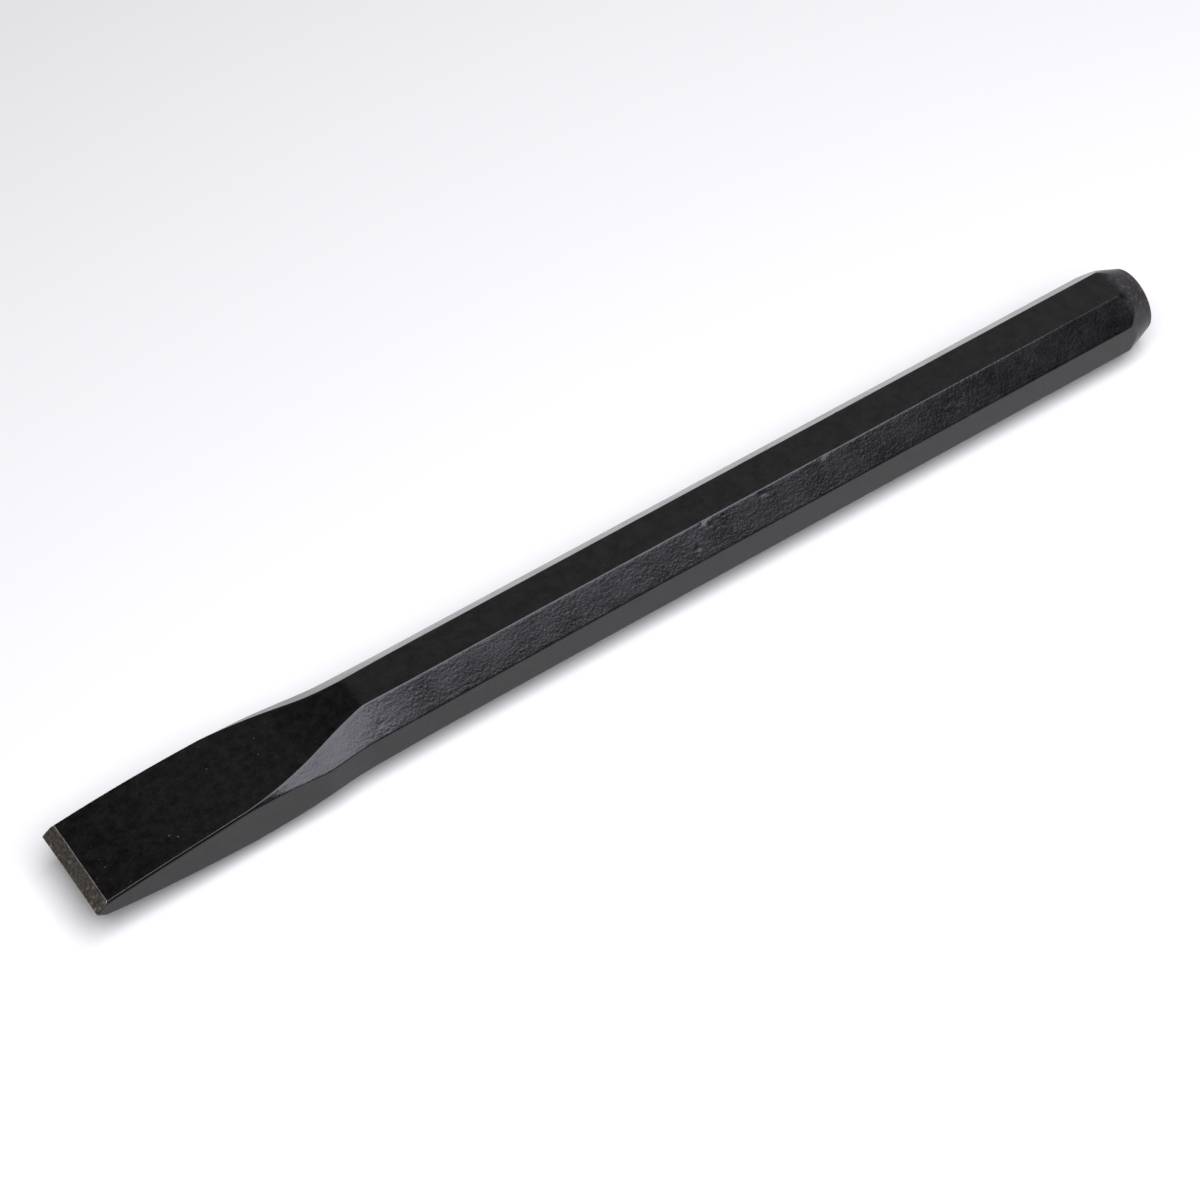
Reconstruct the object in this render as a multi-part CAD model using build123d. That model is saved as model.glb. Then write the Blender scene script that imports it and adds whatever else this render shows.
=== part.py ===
from build123d import *
import math
import os

# Cold chisel: one octagonal steel forging under a coat of black lacquer.
#
# Millimetres. +X runs from the cutting edge to the struck head, Y lies across the blade and +Z
# through its thickness. The origin is on the surface that the chisel lies on, under the middle
# of its box. Sizes are over the lacquer, and "along" is measured from the cutting edge.

LENGTH = 300.0
SHANK_THICKNESS = 20.4  # across the top and bottom flats
SHANK_WIDTH = 21.7  # across the side flats
SHANK_CORNER_SUM = 14.96  # half width plus half thickness, left by the 45 degree flats
COAT = 0.12  # thickness of the lacquer

BEVEL_LENGTH = 3.4
BEVEL_THICKNESS = 4.8  # of the blade, where the ground bevels begin
EDGE_LAND = 0.16  # flat left on the cutting edge

HEAD_RADIUS = 8.25  # small end of the head's cone, before its rim is rounded
HEAD_TAPER = 2.6  # length of cone for each millimetre of radius
HEAD_RIM = 0.8

# Outlines as (along, half size). The top and bottom faces have a crease where the blade begins,
# and the side faces a soft one where the blade stops flaring. Past the neck the bar still
# narrows a little, over the stretch that the forging dies swelled.
BLADE_START = 75.2
HALF_THICKNESS = [(0.0, 1.95), (12.0, 3.47), (27.0, 4.93), (42.0, 6.03), (54.0, 6.97), (66.0, 8.45)]
BLADE_HALF_WIDTH = [(0.0, 13.4), (20.0, 13.2), (33.0, 12.88), (45.0, 12.51), (54.0, 12.41)]
FLARE = (61.5, 12.35)
NECK_HALF_WIDTH = [(67.0, 11.66), (74.0, 11.16)]
NECK_END = 145.0
CORNER_SUM = [(36.0, 18.3), (45.0, 17.85), (53.0, 17.2), (60.0, 16.25), (67.0, 15.3), (76.0, 15.06)]
CORNER_END = 125.0

OVERRUN = 5.0  # how far the cutting bodies run past the ends of the bar
REACH = 40.0  # a size larger than any half width
HALF_LENGTH = LENGTH / 2


def prism(edges, turn):
    """A body between the outline of edges and its mirror image, at a turn about the bar's axis.

    The outline is drawn in X and Y on the positive Y side. At no turn it limits the width.
    """
    near = Wire(edges)
    far = mirror(near, about=Plane.XZ)
    ends = [Edge.make_line(near @ 0, far @ 0), Edge.make_line(near @ 1, far @ 1)]
    outline = make_face([*near.edges(), *far.edges(), *ends])
    return extrude(outline, REACH, both=True).rotate(Axis.X, turn)


def inside(points, skin):
    """The outline points moved in by the skin."""
    return [(along, half - skin) for along, half in points]


def level(start, along):
    """A line along the bar that keeps the half size of its start."""
    return Line(start, (along, start[1]))


def settling(points, end):
    """A smooth curve through points, then a straight taper to the end and the plain shank."""
    last = points[-1]
    taper = Line(last, end)
    rise = (points[1][1] - points[0][1]) / (points[1][0] - points[0][0])
    curve = Spline(*points, tangents=[(1, rise), taper % 0])
    return [curve, taper, level(end, LENGTH + OVERRUN)]


def thickness_body(skin):
    crease = (BLADE_START, SHANK_THICKNESS / 2 - skin)
    blade = inside(HALF_THICKNESS, skin)
    outline = [level(blade[0], -OVERRUN), Spline(*blade, crease), level(crease, LENGTH + OVERRUN)]
    return prism(outline, 90)


def width_body(skin):
    blade = inside([*BLADE_HALF_WIDTH, FLARE], skin)
    neck = inside([FLARE, *NECK_HALF_WIDTH], skin)
    shank = (NECK_END, SHANK_WIDTH / 2 - skin)
    return prism([level(blade[0], -OVERRUN), Spline(*blade), *settling(neck, shank)], 0)


def corner_body(skin, turn):
    """One pair of opposite 45 degree flats, which fade out along the blade."""
    across = [(along, total / math.sqrt(2)) for along, total in CORNER_SUM]
    corner = inside(across, skin)
    shank = (CORNER_END, SHANK_CORNER_SUM / math.sqrt(2) - skin)
    return prism([level(corner[0], -OVERRUN), *settling(corner, shank)], turn)


def head_body(skin):
    """The turned end: a striking face, its rounded rim and the cone that the flats run into."""
    end = LENGTH - skin
    lean = math.hypot(HEAD_TAPER, 1.0)
    small = HEAD_RADIUS - skin * (lean - 1.0) / HEAD_TAPER
    wide = end - (REACH - small) * HEAD_TAPER
    outline = Polyline((-OVERRUN, 0), (end, 0), (end, small), (wide, REACH), (-OVERRUN, REACH), close=True)
    turned = revolve(make_face(outline), Axis.X)
    rim = turned.edges().filter_by(GeomType.CIRCLE).group_by(Axis.X)[-1]
    return fillet(rim, HEAD_RIM)


def blank(skin):
    """The bar before its bevels are ground, with its surface the skin below the lacquer's."""
    body = thickness_body(skin) & width_body(skin)
    for turn in (45, 135):
        body &= corner_body(skin, turn)
    return body & head_body(skin)


def ground_body():
    """The wedge that the two ground bevels leave."""
    land = EDGE_LAND / 2
    rise = (BEVEL_THICKNESS / 2 - land) / BEVEL_LENGTH
    top = (REACH / rise, land + REACH)
    return prism([Line((0, land), top), level(top, LENGTH + OVERRUN)], 90)


def in_place(body):
    return Pos(-HALF_LENGTH, 0, SHANK_THICKNESS / 2) * body


def chisel_forging():
    return in_place(blank(COAT) & ground_body())


def lacquer_coat():
    return in_place((blank(0.0) - blank(COAT)) & ground_body())


def main():
    os.makedirs("parts", exist_ok=True)
    for make in (chisel_forging, lacquer_coat):
        export_step(make(), f"parts/{make.__name__}.step")


main()
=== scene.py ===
import math

import bpy
import numpy as np
from mathutils import Matrix, Vector, noise


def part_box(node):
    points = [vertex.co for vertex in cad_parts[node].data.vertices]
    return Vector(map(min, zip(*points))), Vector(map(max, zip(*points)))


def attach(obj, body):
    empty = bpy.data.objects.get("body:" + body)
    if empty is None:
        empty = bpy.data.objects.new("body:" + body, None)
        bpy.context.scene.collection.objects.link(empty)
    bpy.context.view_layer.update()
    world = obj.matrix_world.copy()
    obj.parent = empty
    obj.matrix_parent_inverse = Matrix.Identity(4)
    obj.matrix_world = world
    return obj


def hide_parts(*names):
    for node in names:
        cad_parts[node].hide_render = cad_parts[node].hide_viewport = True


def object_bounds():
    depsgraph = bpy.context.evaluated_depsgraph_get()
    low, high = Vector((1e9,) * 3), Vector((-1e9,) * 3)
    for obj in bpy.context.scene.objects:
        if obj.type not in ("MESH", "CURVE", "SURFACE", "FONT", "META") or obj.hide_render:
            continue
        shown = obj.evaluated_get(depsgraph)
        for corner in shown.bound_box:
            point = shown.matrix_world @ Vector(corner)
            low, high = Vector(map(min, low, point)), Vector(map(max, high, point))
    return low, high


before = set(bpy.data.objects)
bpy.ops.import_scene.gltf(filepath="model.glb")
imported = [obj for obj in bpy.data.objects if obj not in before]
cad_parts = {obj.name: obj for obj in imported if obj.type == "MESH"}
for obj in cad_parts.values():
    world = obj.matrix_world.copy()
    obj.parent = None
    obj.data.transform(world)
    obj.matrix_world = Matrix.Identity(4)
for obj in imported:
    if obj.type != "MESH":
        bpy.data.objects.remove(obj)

# A lacquered cold chisel on a pale floor under a soft studio light. The shapes below are worked
# out in millimetres along the bar, and go into the meshes in metres, in the CAD frame: +X from
# the cutting edge to the struck head, Y across the blade, +Z up, the floor at 0.

MM = 0.001
CAD_LOW, CAD_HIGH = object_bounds()
COAT_LOW, COAT_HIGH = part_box("lacquer_coat")
_, STEEL_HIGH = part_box("chisel_forging")

# ---------------------------------------------------------------- sizes of the chisel

LENGTH = (COAT_HIGH.x - COAT_LOW.x) / MM
SHANK_HALF_THICKNESS = (COAT_HIGH.z - COAT_LOW.z) / 2 / MM
COAT = (COAT_HIGH.z - STEEL_HIGH.z) / MM
TIP_X = COAT_LOW.x
AXIS_Z = (COAT_LOW.z + COAT_HIGH.z) / 2

# Outlines as (along, half size), with the same points as the CAD model's.
BLADE_START = 75.2
HALF_THICKNESS = [(0.0, 1.95), (12.0, 3.47), (27.0, 4.93), (42.0, 6.03), (54.0, 6.97), (66.0, 8.45)]
BLADE_HALF_WIDTH = [(0.0, 13.4), (20.0, 13.2), (33.0, 12.88), (45.0, 12.51), (54.0, 12.41)]
FLARE = (61.5, 12.35)
NECK_HALF_WIDTH = [(67.0, 11.66), (74.0, 11.16)]
NECK_END = (145.0, 10.85)
CORNER_SUM = [(36.0, 18.3), (45.0, 17.85), (53.0, 17.2), (60.0, 16.25), (67.0, 15.3), (76.0, 15.06)]
CORNER_END = (125.0, 14.96)

BEVEL_LENGTH = 3.4
BEVEL_HALF_THICKNESS = 2.4
HALF_LAND = 0.08
BEVEL_RISE = (BEVEL_HALF_THICKNESS - HALF_LAND) / BEVEL_LENGTH

HEAD_RADIUS = 8.25
HEAD_TAPER = 2.6
HEAD_RIM = 0.8

# How many degrees further up than 45 the corner faces look, as (along, degrees): up where the
# hammer drew out the blade, and out where they run on as narrow chamfers towards the tip.
CORNER_LEAN = [(38.0, -9.0), (52.0, 4.6), (66.0, 4.6), (76.0, 1.6), (88.0, 0.0)]
CHAMFER = 0.5  # least that a corner face cuts off half the width plus half the thickness

# How far apart two faces still blend where the edge between them is rounded off.
EDGE_REACH_BLADE = 0.11
EDGE_REACH_SHANK = 0.17
EDGE_REACH_CHANGE = (30.0, 75.0)  # along the bar, from the one reach to the other
HEAD_EDGE_REACH = 0.22
CREASE_SOFTNESS = 0.7  # spread of the rounding along the bar, at the outlines' creases

CONE_LEAN = math.atan(1 / HEAD_TAPER)
HEAD_FACING = math.cos(CONE_LEAN)
RIM_SHARE = math.tan(math.pi / 4 - CONE_LEAN / 2)

# The forging isn't quite straight: its blade end bows sideways by a fifth of a millimetre.
BOW = -0.2
BOW_PLACE = 60.0
BOW_SPREAD = 36.0

# ---------------------------------------------------------------- shape


def cubic(points, start=None, end=None):
    """A cubic spline through points, as a function. An end with no slope given is left free."""
    x, y = np.array(points, float).T
    gap, rise = np.diff(x), np.diff(y) / np.diff(x)
    n = len(x)
    a, b = np.zeros((n, n)), np.zeros(n)
    for i in range(1, n - 1):
        a[i, i - 1], a[i, i], a[i, i + 1] = gap[i], 2 * (gap[i - 1] + gap[i]), gap[i - 1]
        b[i] = 3 * (gap[i] * rise[i - 1] + gap[i - 1] * rise[i])
    a[0, 0], a[0, 1], b[0] = (2, 1, 3 * rise[0]) if start is None else (1, 0, start)
    a[-1, -1], a[-1, -2], b[-1] = (2, 1, 3 * rise[-1]) if end is None else (1, 0, end)
    slope = np.linalg.solve(a, b)

    def at(s):
        i = np.clip(np.searchsorted(x, s) - 1, 0, n - 2)
        t = (s - x[i]) / gap[i]
        ease, back = t * t * (3 - 2 * t), 1 - t
        lean = gap[i] * t * back * (slope[i] * back - slope[i + 1] * t)
        return y[i] + (y[i + 1] - y[i]) * ease + lean

    return at


def settling(points, end):
    """A curve through points, then a straight taper to the end, as in the CAD outlines."""
    first = (points[1][1] - points[0][1]) / (points[1][0] - points[0][0])
    taper = (end[1] - points[-1][1]) / (end[0] - points[-1][0])
    curve = cubic(points, first, taper)

    def at(s):
        straight = end[1] + taper * np.minimum(s - end[0], 0)
        return np.where(s < points[-1][0], curve(np.minimum(s, points[-1][0])), straight)

    return at


BLADE_TOP = cubic([*HALF_THICKNESS, (BLADE_START, SHANK_HALF_THICKNESS)])
BLADE_SIDE = cubic([*BLADE_HALF_WIDTH, FLARE])
NECK_SIDE = settling([FLARE, *NECK_HALF_WIDTH], NECK_END)
CORNER = settling(CORNER_SUM, CORNER_END)


def half_thickness(s):
    return np.where(s < BLADE_START, BLADE_TOP(np.clip(s, 0, BLADE_START)), SHANK_HALF_THICKNESS)


def half_width(s):
    flare = FLARE[0]
    return np.where(s < flare, BLADE_SIDE(np.clip(s, 0, flare)), NECK_SIDE(np.maximum(s, flare)))


def corner_distance(s):
    start, widest = CORNER_SUM[0]
    return np.where(s < start, widest, CORNER(np.maximum(s, start))) / math.sqrt(2)


def corner_facing(s):
    """The angle above level that the corner faces look at."""
    along, lean = zip(*CORNER_LEAN)
    return math.pi / 4 + np.interp(s, along, np.radians(lean))


def softened(outline, s):
    """The outline at s, with its creases rounded over a short stretch of the bar."""
    reach = np.linspace(-3, 3, 25)
    share = np.exp(-reach * reach / 2)
    near = np.abs(s[:, None] + reach * CREASE_SOFTNESS)
    return outline(near) @ (share / share.sum())


def head_limit(s, skin):
    """Radius of the turned head at s: a cone, then the rounded rim."""
    end = LENGTH - skin
    small = HEAD_RADIUS - skin * RIM_SHARE
    centre_s = end - HEAD_RIM
    centre_r = small - HEAD_RIM * RIM_SHARE
    cone = small + (end - s) / HEAD_TAPER
    arc = centre_r + np.sqrt(np.clip(HEAD_RIM**2 - (s - centre_s) ** 2, 0, None))
    return np.where(s > centre_s + HEAD_RIM * math.sin(CONE_LEAN), arc, cone)


ROUNDING_PASSES = 6


def smooth_max(first, second, reach):
    """The larger of two (distance, slope) pairs, blended where they are closer than reach."""
    share = np.clip(0.5 + 0.5 * (first[0] - second[0]) / reach, 0, 1)
    value = share * first[0] + (1 - share) * second[0] + reach * share * (1 - share)
    return value, share * first[1] + (1 - share) * second[1]


def section_radius(s, turn, skin):
    """Distance from the axis to the surface, skin below the lacquer, for each s and turn.

    A turn of 0 looks down and a quarter turn looks along +Y. The flats and the head's cone
    limit the distance, and where two of them meet, the edge between them is rounded.
    """
    up, out = np.abs(np.cos(turn)), np.abs(np.sin(turn))
    outlines = (half_thickness, half_width, corner_distance)
    top, side, corner = (softened(outline, s)[:, None] for outline in outlines)
    s = s[:, None]
    both = np.minimum(corner * math.sqrt(2), top + side - CHAMFER)
    middle_out, middle_up = (side + both - top) / 2, (top + both - side) / 2
    facing = corner_facing(s)
    slant = out * np.cos(facing) + up * np.sin(facing)
    top, side = top - skin, side - skin
    corner = middle_out * np.cos(facing) + middle_up * np.sin(facing) - skin
    cone = head_limit(s, skin)
    edge = np.interp(s, EDGE_REACH_CHANGE, (EDGE_REACH_BLADE, EDGE_REACH_SHANK))
    tiny = 1e-6
    flat = np.minimum(top / (up + tiny), side / (out + tiny))
    radius = np.minimum(flat, np.minimum(corner / slant, cone))
    for _ in range(ROUNDING_PASSES):
        flats = smooth_max((radius * up - top, up), (radius * out - side, out), edge)
        flats = smooth_max(flats, (radius * slant - corner, slant), edge)
        over, slope = smooth_max(flats, ((radius - cone) * HEAD_FACING, HEAD_FACING), HEAD_EDGE_REACH)
        radius = radius - over / slope
    return radius


FINE_TURNS = np.linspace(0, 2 * math.pi, 2881)
EDGE_COLUMNS_MM = 2.6  # each radian of turning gets as many columns as this length of flat


def columns(s, count, skin):
    """Y and Z of count columns round the section at each s, closer together over the edges."""
    radius = section_radius(s, FINE_TURNS, skin)
    y, z = radius * np.sin(FINE_TURNS), -radius * np.cos(FINE_TURNS)
    dy, dz = np.diff(y, axis=1), np.diff(z, axis=1)
    heading = np.unwrap(np.arctan2(dz, dy), axis=1)
    bend = np.abs(np.diff(heading, axis=1, append=heading[:, :1] + 2 * math.pi))
    turning = (bend + np.roll(bend, 1, axis=1)) / 2
    weight = np.hypot(dy, dz) + EDGE_COLUMNS_MM * turning
    walked = np.concatenate([np.zeros((len(s), 1)), np.cumsum(weight, axis=1)], axis=1)
    out = np.empty((len(s), count, 2))
    for i in range(len(s)):
        wanted = walked[i, -1] * np.arange(count) / count
        turn = np.interp(wanted, walked[i], FINE_TURNS)
        r = np.interp(turn, FINE_TURNS, radius[i])
        out[i, :, 0], out[i, :, 1] = r * np.sin(turn), -r * np.cos(turn)
    return out


# ---------------------------------------------------------------- from shape to mesh


def in_frame(s, yz):
    """Points in metres in the CAD frame, from s along the bar and Y and Z from its axis."""
    bow = BOW * np.exp(-(((s - BOW_PLACE) / BOW_SPREAD) ** 2))
    return np.stack([TIP_X + s * MM, (yz[..., 0] + bow) * MM, AXIS_Z + yz[..., 1] * MM], axis=-1)


def steps(*stretches):
    """Stations along the bar from (start, spacing) stretches, the last of which is the end."""
    out = []
    for (low, gap), (high, _) in zip(stretches, stretches[1:]):
        out.append(np.linspace(low, high, max(2, round((high - low) / gap) + 1))[:-1])
    return np.concatenate([*out, [stretches[-1][0]]])


def head_stations(skin, count):
    """Stations over the rounded rim, evenly spaced round its arc, up to the striking face."""
    turns = np.linspace(CONE_LEAN, math.pi / 2, count)
    return LENGTH - skin - HEAD_RIM + HEAD_RIM * np.sin(turns)


TIP_BLEND = 9.0  # from here on each ring of the mesh lies in one plane across the bar


def tip_rings(stations, count, skin, ragged):
    """Rings between the ground bevels and TIP_BLEND, which lean from one to the other."""
    fine = np.linspace(0, TIP_BLEND + ragged.max() + 1, 60)
    table = columns(fine, count, skin)
    rings = np.empty((len(stations), count, 3))
    for j in range(count):
        y, z = table[:, j, 0], table[:, j, 1]
        above = np.abs(z) - HALF_LAND - BEVEL_RISE * fine
        start = np.interp(0, -above, fine) + ragged[j]
        s = start + stations * (TIP_BLEND - start) / TIP_BLEND
        rings[:, j] = np.stack([s, np.interp(s, fine, y), np.interp(s, fine, z)], axis=-1)
    return rings


def bar_rings(stations, count, skin, ragged=None):
    """Rings (s, y, z) of the bar's surface, from its ground bevels to its striking face."""
    ragged = np.zeros(count) if ragged is None else ragged
    near = stations[stations < TIP_BLEND]
    far = stations[stations >= TIP_BLEND]
    along = np.broadcast_to(far[:, None, None], (len(far), count, 1))
    plain = np.concatenate([along, columns(far, count, skin)], axis=-1)
    return np.concatenate([tip_rings(near, count, skin, ragged), plain])


def face_rings(last, shares):
    """Rings that close the striking face, as shares of the last ring's radius."""
    return np.stack([last * [1, share, share] for share in shares])


def ring_faces(rings, count, first=0):
    """Quads between successive rings of vertices numbered in order from first."""
    j = np.arange(count)
    ahead = (j + 1) % count
    quads = []
    for i in range(rings - 1):
        low, high = first + i * count, first + (i + 1) * count
        quads.append(np.stack([low + j, low + ahead, high + ahead, high + j], axis=-1))
    return np.concatenate(quads).tolist()


def fan(ring_start, count, pole):
    """Triangles from a ring to the pole in its middle."""
    return [(ring_start + j, ring_start + (j + 1) % count, pole) for j in range(count)]


def make_piece(name, points, faces, material):
    mesh = bpy.data.meshes.new(name)
    mesh.from_pydata(points, [], faces)
    mesh.validate()
    mesh.shade_smooth()
    mesh.materials.append(material)
    piece = bpy.data.objects.new(name, mesh)
    bpy.context.scene.collection.objects.link(piece)
    return piece


def outward(rings):
    """Unit normals of a grid of rings in the frame."""
    along = np.gradient(rings, axis=0)
    round_bar = np.roll(rings, -1, axis=1) - np.roll(rings, 1, axis=1)
    normal = np.cross(round_bar, along)
    return normal / np.maximum(np.linalg.norm(normal, axis=-1, keepdims=True), 1e-12)


SEED_SHIFT = 17.3  # moves each seed to its own part of the noise


def noise_at(points, wavelength, seed):
    """Smooth noise between about -1 and 1 at each point, wavelength in the points' unit."""
    flat = points.reshape(-1, 3) / wavelength + seed * SEED_SHIFT
    return np.array([noise.noise(Vector(p)) for p in flat]).reshape(points.shape[:-1])


# ---------------------------------------------------------------- the forging and its lacquer

COLUMNS = 184
RIM_START = LENGTH - HEAD_RIM + HEAD_RIM * math.sin(CONE_LEAN)
# Rows are closest at the tip, at the crease, over two stretches that have burrs, and on the cone.
OUTER_ROWS = steps(
    (0, 0.42), (TIP_BLEND, 0.62), (72, 0.35), (79, 0.75), (160, 0.45), (172, 0.75),
    (182, 0.45), (190, 0.75), (288, 0.42), (RIM_START, 1),
)
INNER_ROWS = steps((0, 3), (TIP_BLEND, 6), (72, 2.5), (79, 12), (288, 3), (RIM_START, 1))
RIM_RINGS = 9
FACE_SHARES = [0.97, 0.9, 0.75, 0.55, 0.35, 0.15]


UNDULATION_DEPTH = 0.045 * MM  # of its mean below the true shape
BROAD_UNDULATION = 0.03 * MM
SHORT_UNDULATION = 0.018 * MM
BROAD_WAVELENGTH = 17 * MM
SHORT_WAVELENGTH = 6 * MM
DRAWN_OUT = [0.6, 1, 1]  # the broad waves are longer along the bar
LEAST_DEPTH = 0.002 * MM  # keeps the undulation below the true shape
STEEL_CLEARANCE = 0.004 * MM  # between the forging and the lacquer's inner skin


def undulation(points):
    """How far the hammered forging lies from its true shape, in metres, negative being inside."""
    broad = noise_at(points * DRAWN_OUT, BROAD_WAVELENGTH, seed=1)
    short = noise_at(points, SHORT_WAVELENGTH, seed=2)
    return BROAD_UNDULATION * broad + SHORT_UNDULATION * short - UNDULATION_DEPTH


# Small burrs and pits, as (along, Y, Z from the axis, half length, half width, height), all in mm.
# The first ten stand for marks that the photograph shows, and the last seven are invented.
MARKS = [
    (168.6, -5.0, 10.0, 0.6, 0.5, -0.13),
    (170.0, -5.3, 9.7, 0.6, 0.4, 0.06),
    (185.5, -5.7, 9.3, 1.2, 0.35, -0.07),
    (203.0, -5.0, 10.0, 0.9, 0.4, -0.1),
    (204.3, -5.3, 9.7, 0.5, 0.35, 0.05),
    (164.9, -8.5, 6.45, 0.5, 0.45, -0.09),
    (165.9, -8.2, 6.75, 0.5, 0.4, 0.035),
    (239.5, -7.1, 7.85, 1.2, 0.4, -0.04),
    (241.6, -7.7, 7.2, 0.9, 0.4, -0.035),
    (238.2, -7.9, 7.0, 0.8, 0.45, 0.03),
    (77.0, -8.9, 6.1, 0.7, 0.45, -0.05),
    (57.0, 3.5, 7.3, 0.7, 0.6, -0.05),
    (112.0, 8.3, 6.6, 0.9, 0.5, -0.06),
    (214.0, 4.9, 10.05, 0.7, 0.4, 0.08),
    (131.0, 4.8, -10.1, 0.9, 0.4, -0.08),
    (266.0, -4.9, -10.0, 0.8, 0.5, -0.07),
    (204.0, 10.8, 2.0, 1.0, 0.6, -0.05),
]


def marks(points):
    """Height of the burrs and pits at points in the frame, in metres."""
    s = (points[..., 0] - TIP_X) / MM
    y, z = points[..., 1] / MM, (points[..., 2] - AXIS_Z) / MM
    height = np.zeros(s.shape)
    for along, out, up, length, width, rise in MARKS:
        near = ((s - along) / length) ** 2 + ((y - out) ** 2 + (z - up) ** 2) / width**2
        height += rise * np.exp(-near)
    return height * MM


FLAKE_LEAST = 0.05
FLAKE_MORE = 0.22  # added to the least where the lacquer has flaked furthest


def ragged_edge():
    """How far, in mm, the lacquer's end has flaked back from the ground bevels in each column."""
    turn = np.arange(COLUMNS) / COLUMNS * 2 * math.pi
    place = np.stack([np.cos(turn), np.sin(turn), np.zeros(COLUMNS)], axis=-1)
    fine = noise_at(place, 0.09, seed=4)
    coarse = noise_at(place, 0.35, seed=5)
    return FLAKE_LEAST + FLAKE_MORE * np.clip(fine + 0.5 * coarse, 0, 1) ** 1.5


def all_rings(rows, skin, ragged=None):
    """Rings in the frame from the bevels to just short of the pole of the striking face."""
    stations = np.concatenate([rows[:-1], head_stations(skin, RIM_RINGS)])
    rings = bar_rings(stations, COLUMNS, skin, ragged)
    rings = np.concatenate([rings, face_rings(rings[-1], FACE_SHARES)])
    placed = in_frame(rings[..., 0], rings[..., 1:])
    return placed, outward(placed)


def forged(placed, normals):
    """The rings moved in to the hammered surface."""
    return placed + normals * np.minimum(undulation(placed), -LEAST_DEPTH)[..., None]


def held_in_box(points):
    """The points, with none past the CAD model's box."""
    return np.clip(points, np.array(CAD_LOW), np.array(CAD_HIGH))


def coat_piece(material):
    """The lacquer: an outer skin and an inner one, joined at their ends by the bevels."""
    ragged = ragged_edge()
    outer, normals = all_rings(OUTER_ROWS, 0.0, ragged)
    outer = forged(outer, normals) + normals * marks(outer)[..., None]
    inner, normals = all_rings(INNER_ROWS, COAT, ragged)
    inner = forged(inner, normals)
    out_count, in_count = len(outer), len(inner)
    poles = [outer[-1].mean(axis=0), inner[-1].mean(axis=0)]
    points = held_in_box(np.concatenate([outer.reshape(-1, 3), inner.reshape(-1, 3), poles]))
    first_in = out_count * COLUMNS
    faces = ring_faces(out_count, COLUMNS)
    faces += fan((out_count - 1) * COLUMNS, COLUMNS, len(points) - 2)
    inside = ring_faces(in_count, COLUMNS, first_in)
    inside += fan(first_in + (in_count - 1) * COLUMNS, COLUMNS, len(points) - 1)
    faces += [face[::-1] for face in inside]
    for j in range(COLUMNS):
        ahead = (j + 1) % COLUMNS
        faces.append((first_in + j, first_in + ahead, ahead, j))
    return make_piece("lacquer_skin", points, faces, material)


BEVEL_RINGS = 22
EDGE_WEAR = 0.015  # how far the whole cutting edge is worn back, in mm
EDGE_NICKS = 0.05  # how much further its short nicks and its long waves go
EDGE_WAVES = 0.02


def bevel_rings(boundary):
    """Rings (s, y, z) down the two bevels, from the boundary ring to the ring round the edge land."""
    quarter = COLUMNS // 4
    wide = boundary[quarter, 1]
    step_ahead = np.linalg.norm(np.roll(boundary, -1, axis=0) - boundary, axis=1)
    land = np.zeros_like(boundary)
    for low, high, sign in ((quarter, 3 * quarter, 1), (3 * quarter, 5 * quarter, -1)):
        walked = np.concatenate([[0], np.cumsum(step_ahead[np.arange(low, high) % COLUMNS])])
        across = wide * (1 - 2 * walked / walked[-1]) * sign
        index = np.arange(low, high + 1) % COLUMNS
        land[index, 1] = across
        land[index, 2] = np.where(np.abs(across) < wide - 1e-9, sign * HALF_LAND, 0)
    place = land * [0, MM, 0]
    nicks = EDGE_NICKS * np.clip(noise_at(place, 1.1 * MM, seed=6), 0, 1)
    waves = EDGE_WAVES * noise_at(place, 5 * MM, seed=7) ** 2
    land[:, 0] = EDGE_WEAR + nicks + waves
    shares = np.linspace(0, 1, BEVEL_RINGS + 1)[1:, None, None]
    return boundary + (land - boundary) * shares


def land_faces(first):
    """The narrow strip at the cutting edge, between the last rings of the two bevels."""
    quarter = COLUMNS // 4
    faces = []
    for i in range(2 * quarter):
        top, top_ahead = first + quarter + i, first + quarter + i + 1
        low, low_ahead = first + (quarter - i) % COLUMNS, first + (quarter - i - 1) % COLUMNS
        corners = []
        for corner in (top, low, low_ahead, top_ahead):
            if corner not in corners:
                corners.append(corner)
        faces.append(tuple(corners))
    return faces


def steel_piece(material):
    """The forging under the lacquer, bare where its two bevels are ground."""
    stations = np.concatenate([INNER_ROWS[:-1], head_stations(COAT, RIM_RINGS)])
    body = bar_rings(stations, COLUMNS, COAT)
    bevels = bevel_rings(body[0])
    rings = np.concatenate([bevels[::-1], body, face_rings(body[-1], FACE_SHARES)])
    placed = in_frame(rings[..., 0], rings[..., 1:])
    under_coat = (np.arange(len(rings)) > BEVEL_RINGS)[:, None]
    depth = (undulation(placed) - STEEL_CLEARANCE) * under_coat
    sunk = placed + outward(placed) * depth[..., None]
    pole = sunk[-1].mean(axis=0)
    points = held_in_box(np.concatenate([sunk.reshape(-1, 3), [pole]]))
    faces = ring_faces(len(rings), COLUMNS)
    faces += fan((len(rings) - 1) * COLUMNS, COLUMNS, len(points) - 1)
    faces += land_faces(0)
    return make_piece("ground_forging", points, faces, material)


# ---------------------------------------------------------------- materials


def node(tree, kind, inputs=None, **settings):
    """A new shader node, with each input linked to a socket or set to a value."""
    made = tree.nodes.new("ShaderNode" + kind)
    for key, value in settings.items():
        setattr(made, key, value)
    for key, value in (inputs or {}).items():
        if isinstance(value, bpy.types.NodeSocket):
            tree.links.new(value, made.inputs[key])
        else:
            made.inputs[key].default_value = value
    return made


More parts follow.
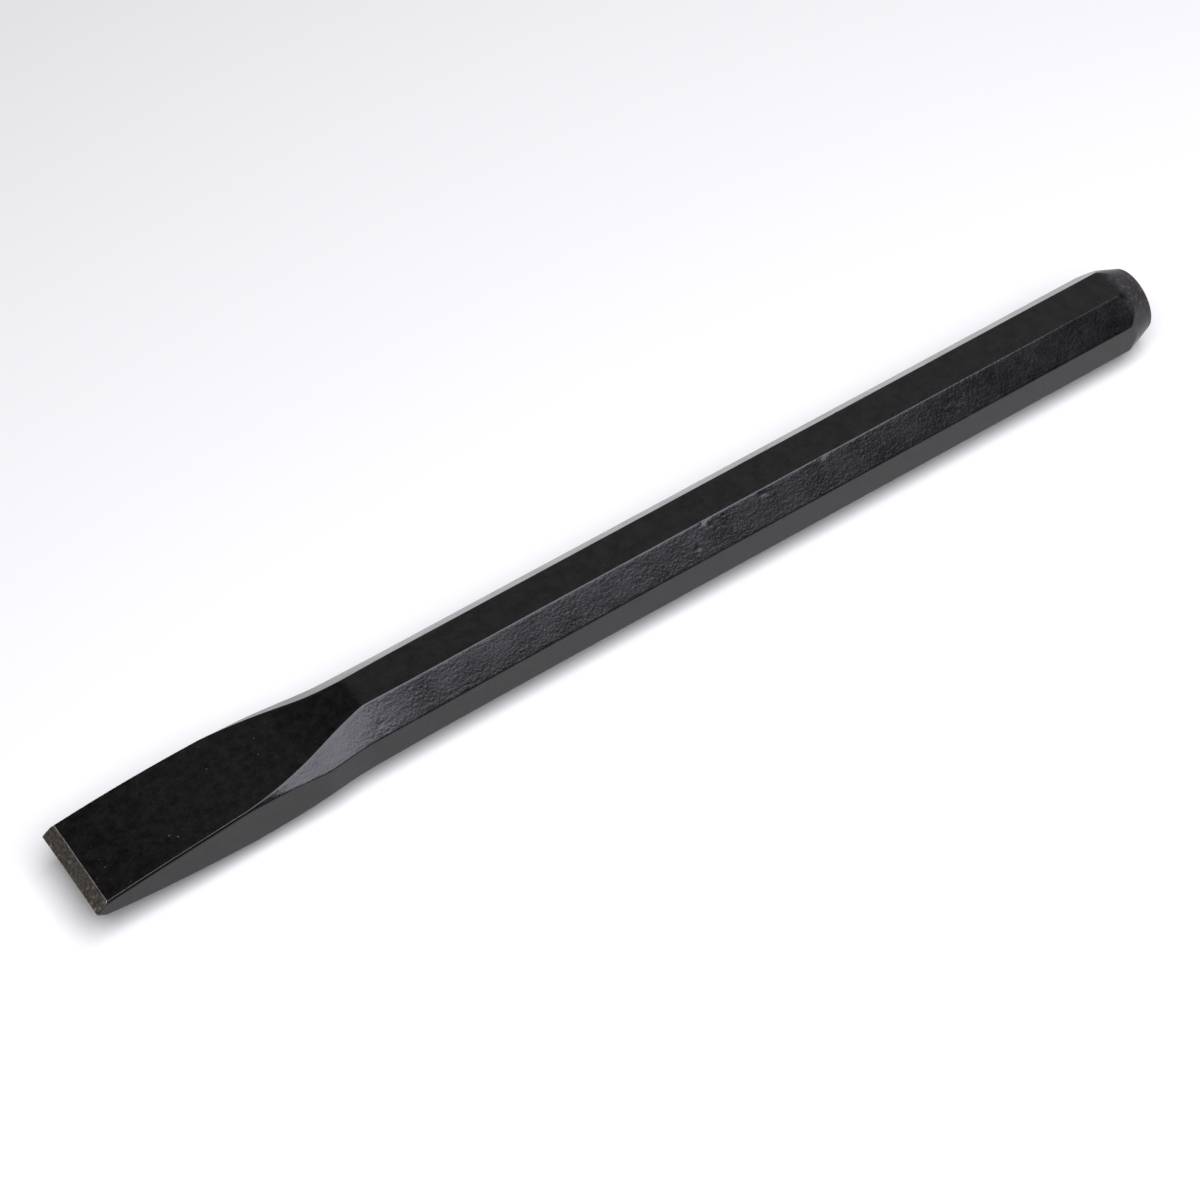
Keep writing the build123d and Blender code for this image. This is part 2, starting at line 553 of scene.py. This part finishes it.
def new_material(name):
    material = bpy.data.materials.new(name)
    material.use_nodes = True
    tree = material.node_tree
    tree.nodes.clear()
    shader = node(tree, "BsdfPrincipled")
    node(tree, "OutputMaterial", {"Surface": shader.outputs[0]})
    return material, tree, shader


def speckle(tree, place, scale, detail=2.0, rough=0.5):
    """Noise of a scale given in features per metre."""
    inputs = {"Vector": place, "Scale": scale, "Detail": detail, "Roughness": rough}
    return node(tree, "TexNoise", inputs).outputs[0]


def stretched(tree, place, scale):
    """The place with each axis scaled, so that a pattern on it is drawn out along the small ones."""
    return node(tree, "Mapping", {"Vector": place, "Scale": scale}).outputs[0]


def spread(tree, value, low, high, to_low=0.0, to_high=1.0):
    """The value from low to high, mapped on to the other range and held at its ends."""
    inputs = {"Value": value, "From Min": low, "From Max": high, "To Min": to_low, "To Max": to_high}
    return node(tree, "MapRange", inputs).outputs[0]


def blend_colours(tree, share, first, second):
    """The first colour where the share is 0 and the second where it is 1."""
    mixed = node(tree, "Mix", {0: share}, data_type="RGBA")
    for key, value in ((6, first), (7, second)):
        if isinstance(value, bpy.types.NodeSocket):
            tree.links.new(value, mixed.inputs[key])
        else:
            mixed.inputs[key].default_value = (*value, 1)
    return mixed.outputs[2]


def maths(tree, operation, *values):
    return node(tree, "Math", dict(enumerate(values)), operation=operation).outputs[0]


def times(tree, first, second):
    return maths(tree, "MULTIPLY", first, second)


def plus(tree, first, *others):
    total = first
    for other in others:
        total = maths(tree, "ADD", total, other)
    return total


def relief(tree, shader, height, depth):
    """Bump from a height pattern, in which a height of 1 stands for depth in metres."""
    bump = node(tree, "Bump", {"Height": height, "Distance": depth, "Strength": 1.0})
    tree.links.new(bump.outputs[0], shader.inputs["Normal"])


def dots(tree, place, scale, radius, kept):
    """Round specks, in a share of the cells of a scattered pattern."""
    cells = node(tree, "TexVoronoi", {"Vector": place, "Scale": scale})
    near = spread(tree, cells.outputs["Distance"], radius, radius * 0.7)
    chance = node(tree, "SeparateColor", {0: cells.outputs["Color"]}).outputs[0]
    return times(tree, near, maths(tree, "GREATER_THAN", chance, 1 - kept))


# Pattern scales are in features per metre, places in metres, and colours are linear.

DUST_COLOUR = (0.06, 0.058, 0.055)
STAIN_COLOUR = (0.011, 0.0065, 0.002)
UPPER_CONE_GREY = (0.022, 0.021, 0.021)
SCUFF_COLOUR = (0.065, 0.062, 0.062)
RUST_COLOUR = (0.06, 0.03, 0.024)

DUSTY_FROM = -0.07  # dust thickens from here on the bar to DUSTY_TO, on faces that look up
DUSTY_TO = -0.12
STAIN_FROM = -0.1452  # the stain fades in over a millimetre, just before the lacquer's end
STAIN_TO = -0.1463
CONE_FROM = 0.1425
CONE_TO = 0.1445
SCUFFED_FROM = 0.0135  # height above the floor
SCUFFED_TO = 0.016
RIM_FROM = 0.1484
RIM_TO = 0.1491
RUST_INNER = 6.6 * MM  # from the bar's axis
RUST_OUTER = 7.4 * MM
LACQUER_RELIEF = 0.045 * MM


def lacquer_tone(tree, place, fine):
    """Black with a faint mottling."""
    mottle = speckle(tree, place, 420, detail=4.0, rough=0.65)
    fine_share = times(tree, spread(tree, fine, 0.35, 0.65), 0.4)
    mottle_share = times(tree, spread(tree, mottle, 0.38, 0.62), 0.6)
    tone = plus(tree, fine_share, mottle_share)
    return blend_colours(tree, tone, (0.0002, 0.0002, 0.0002), (0.0075, 0.007, 0.0066))


def dust_on_blade(tree, place, along):
    """Specks of two sizes that have settled on the upward faces of the blade."""
    normal = node(tree, "NewGeometry").outputs["True Normal"]
    upward = node(tree, "SeparateXYZ", {0: normal}).outputs[2]
    facing_up = spread(tree, upward, 0.8, 0.95)
    settled = times(tree, facing_up, spread(tree, along, DUSTY_FROM, DUSTY_TO, 0.15, 1.0))
    large = dots(tree, place, 700, radius=0.17, kept=0.07)
    small = times(tree, dots(tree, place, 1500, radius=0.3, kept=0.2), 0.12)
    return times(tree, plus(tree, large, small), settled)


def stain_at_bevels(tree, place, along):
    patches = spread(tree, speckle(tree, place, 800, detail=4.0, rough=0.7), 0.48, 0.66)
    return times(tree, spread(tree, along, STAIN_FROM, STAIN_TO), patches)


def scuffs_on_cone(tree, place, on_cone):
    streaks = stretched(tree, place, (0.5, 1.0, 1.0))
    return times(tree, on_cone, spread(tree, speckle(tree, streaks, 1500, detail=4.0, rough=0.7), 0.52, 0.68))


def rust_on_rim(tree, place, along):
    """Rust in patches where the rim's lacquer has chipped."""
    from_axis = node(tree, "VectorMath", {0: place, 1: (0, 0, AXIS_Z)}, operation="SUBTRACT").outputs[0]
    across = node(tree, "VectorMath", {0: from_axis, 1: (0, 1, 1)}, operation="MULTIPLY").outputs[0]
    radius = node(tree, "VectorMath", {0: across}, operation="LENGTH").outputs["Value"]
    near_rim = spread(tree, radius, RUST_INNER, RUST_OUTER)
    at_rim = times(tree, spread(tree, along, RIM_FROM, RIM_TO), near_rim)
    return times(tree, at_rim, spread(tree, speckle(tree, place, 420, detail=5.0, rough=0.65), 0.42, 0.62))


def lacquer_material():
    material, tree, shader = new_material("black_lacquer")
    place = node(tree, "TexCoord").outputs["Object"]
    axes = node(tree, "SeparateXYZ", {0: place}).outputs
    fine = speckle(tree, place, 3800, detail=2.0)
    shader.inputs["IOR"].default_value = 1.44

    dust = dust_on_blade(tree, place, axes[0])
    stain = stain_at_bevels(tree, place, axes[0])
    upper_cone = spread(tree, axes[2], SCUFFED_FROM, SCUFFED_TO)
    on_cone = times(tree, spread(tree, axes[0], CONE_FROM, CONE_TO), upper_cone)
    scuffs = scuffs_on_cone(tree, place, on_cone)
    rust = rust_on_rim(tree, place, axes[0])
    base = lacquer_tone(tree, place, fine)
    base = blend_colours(tree, dust, base, DUST_COLOUR)
    base = blend_colours(tree, stain, base, STAIN_COLOUR)
    # The upper part of the cone is blended towards a lighter grey.
    base = blend_colours(tree, times(tree, on_cone, 0.8), base, UPPER_CONE_GREY)
    base = blend_colours(tree, scuffs, base, SCUFF_COLOUR)
    base = blend_colours(tree, rust, base, RUST_COLOUR)
    tree.links.new(base, shader.inputs["Base Color"])

    cloud = speckle(tree, place, 110, detail=2.0)
    smooth = spread(tree, cloud, 0.3, 0.7, 0.15, 0.22)
    smooth = plus(tree, smooth, spread(tree, fine, 0.3, 0.7, 0.0, 0.04))
    rough_cone = spread(tree, axes[0], CONE_FROM, CONE_TO, 0.0, 0.2)
    worn = plus(tree, times(tree, dust, 0.3), times(tree, scuffs, 0.3), rust)
    rough = plus(tree, smooth, rough_cone, times(tree, worn, 0.3))
    tree.links.new(rough, shader.inputs["Roughness"])

    grain = speckle(tree, place, 1300, detail=1.5, rough=0.55)
    drawn = speckle(tree, stretched(tree, place, (0.22, 1.0, 1.0)), 900, detail=3.0, rough=0.6)
    height = plus(tree, times(tree, grain, 0.62), times(tree, drawn, 0.45))
    height = plus(tree, height, times(tree, fine, 0.1), times(tree, dust, 0.2))
    relief(tree, shader, height, LACQUER_RELIEF)
    return material


DULL_STEEL = (0.15, 0.136, 0.108)
CLEAN_STEEL = (0.5, 0.455, 0.38)
# The fleck colour paints a glint on the pits that the relief raises.
PAINTED_GLINT_COLOUR = (0.88, 0.85, 0.78)
# The corner colour is a painted highlight, where the corners catch the lamp.
PAINTED_HIGHLIGHT_COLOUR = (0.82, 0.79, 0.74)
HIGHLIGHT_BAND_FROM = 2.17 * MM  # height of the painted highlight band, above or below the cutting edge
HIGHLIGHT_BAND_TO = 2.25 * MM
STEEL_RELIEF = 0.025 * MM


def steel_material():
    """Blotched steel with scratches across the edge, pits with painted glints, and a painted highlight on the
    corners.
    """
    material, tree, shader = new_material("ground_steel")
    place = node(tree, "TexCoord").outputs["Object"]
    axes = node(tree, "SeparateXYZ", {0: place}).outputs
    lines = speckle(tree, stretched(tree, place, (0.14, 1.0, 0.14)), 5200, detail=3.0, rough=0.7)
    blotch = speckle(tree, place, 1500, detail=4.0, rough=0.7)
    shader.inputs["Metallic"].default_value = 1.0

    base = blend_colours(tree, spread(tree, blotch, 0.35, 0.68), DULL_STEEL, CLEAN_STEEL)
    patch = spread(tree, speckle(tree, place, 130, detail=1.0), 0.4, 0.6, 0.4, 1.0)
    # The specks are pits in the relief, and their light colour is a painted glint.
    pits_and_painted_glints = times(tree, dots(tree, place, 950, radius=0.46, kept=0.2), patch)
    base = blend_colours(tree, pits_and_painted_glints, base, PAINTED_GLINT_COLOUR)
    # The corners that the grinding left at the lacquer's ends get a painted highlight: the lightest colour
    # here stands for the lamp caught on them.
    height = maths(tree, "ABSOLUTE", maths(tree, "SUBTRACT", axes[2], AXIS_Z))
    corner = spread(tree, height, HIGHLIGHT_BAND_FROM, HIGHLIGHT_BAND_TO)
    painted_highlight = times(tree, corner, spread(tree, blotch, 0.3, 0.5))
    base = blend_colours(tree, painted_highlight, base, PAINTED_HIGHLIGHT_COLOUR)
    tree.links.new(base, shader.inputs["Base Color"])

    tree.links.new(spread(tree, lines, 0.3, 0.7, 0.3, 0.5), shader.inputs["Roughness"])
    height = plus(tree, times(tree, lines, 0.6), times(tree, blotch, 0.6), times(tree, pits_and_painted_glints, 1.3))
    relief(tree, shader, height, STEEL_RELIEF)
    return material


def floor_material():
    material, tree, shader = new_material("pale_floor")
    place = node(tree, "TexCoord").outputs["Object"]
    clouds = speckle(tree, place, 3.0)
    tone = blend_colours(tree, clouds, (0.73, 0.745, 0.68), (0.745, 0.76, 0.695))
    tree.links.new(tone, shader.inputs["Base Color"])
    shader.inputs["Roughness"].default_value = 0.9
    shader.inputs["Specular IOR Level"].default_value = 0.1
    return material


# ---------------------------------------------------------------- studio

FLOOR_RADIUS = 4.0
FLOOR_CORNERS = 96

LAMP_PLACE = (0.02, -0.6, 1.0)
LAMP_TURN = math.radians(10)
LAMP_SIZE = (1.2, 1.3)
LAMP_RADIANCE = 5.6
LAMP_TINT = (1.0, 0.975, 1.12)

# The room is dark, and grows lighter round one direction: (cosine to it, strength) at each end.
LIGHT_SIDE = (0.65, 0.5, 0.57)
ROOM_DARK = (0.74, 0.053)
ROOM_LIGHT = (0.97, 0.48)

# The photograph's view, from a fit to the bar's edges in it.
CAMERA_PLACE = (-0.27505, -0.50331, 0.68422)
CAMERA_AIM = (-0.00986, -0.00324, 0.01018)
CAMERA_ROLL = math.radians(-6.47)
CAMERA_LENS = 112.26
CAMERA_SENSOR = 36.0


def floor_disc():
    turns = np.linspace(0, 2 * math.pi, FLOOR_CORNERS, endpoint=False)
    rim = [(FLOOR_RADIUS * math.cos(t), FLOOR_RADIUS * math.sin(t), 0.0) for t in turns]
    disc = make_piece("pale_floor", rim, [tuple(range(FLOOR_CORNERS))], floor_material())


def soft_box():
    """A level rectangular lamp that shines straight down, the same brightness all over."""
    light = bpy.data.lights.new("front_box", "AREA")
    light.shape = "RECTANGLE"
    light.size, light.size_y = LAMP_SIZE
    light.energy = LAMP_RADIANCE * LAMP_SIZE[0] * LAMP_SIZE[1] * math.pi
    light.color = LAMP_TINT
    lamp = bpy.data.objects.new("front_box", light)
    lamp.location = LAMP_PLACE
    lamp.rotation_euler = (0, 0, LAMP_TURN)
    bpy.context.scene.collection.objects.link(lamp)


def surroundings():
    world = bpy.data.worlds.new("room")
    bpy.context.scene.world = world
    world.use_nodes = True
    tree = world.node_tree
    tree.nodes.clear()
    way = node(tree, "TexCoord").outputs["Generated"]
    toward = node(tree, "VectorMath", {0: way, 1: LIGHT_SIDE}, operation="DOT_PRODUCT").outputs["Value"]
    strength = spread(tree, toward, ROOM_DARK[0], ROOM_LIGHT[0], ROOM_DARK[1], ROOM_LIGHT[1])
    back = node(tree, "Background", {"Color": (1, 1, 1, 1), "Strength": strength})
    node(tree, "OutputWorld", {"Surface": back.outputs[0]})


def camera():
    place, aim = Vector(CAMERA_PLACE), Vector(CAMERA_AIM)
    data = bpy.data.cameras.new("camera")
    data.lens, data.sensor_width = CAMERA_LENS, CAMERA_SENSOR
    made = bpy.data.objects.new("camera", data)
    facing = (aim - place).to_track_quat("-Z", "Y")
    roll = Matrix.Rotation(CAMERA_ROLL, 4, "Z")
    made.matrix_world = Matrix.Translation(place) @ facing.to_matrix().to_4x4() @ roll
    bpy.context.scene.collection.objects.link(made)
    bpy.context.scene.camera = made


# ---------------------------------------------------------------- the scene

coat = coat_piece(lacquer_material())
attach(coat, "root")
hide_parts("lacquer_coat")

steel = steel_piece(steel_material())
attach(steel, "root")
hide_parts("chisel_forging")

camera()
floor_disc()
surroundings()
soft_box()
bpy.context.scene.view_settings.view_transform = "Standard"

bpy.context.view_layer.update()
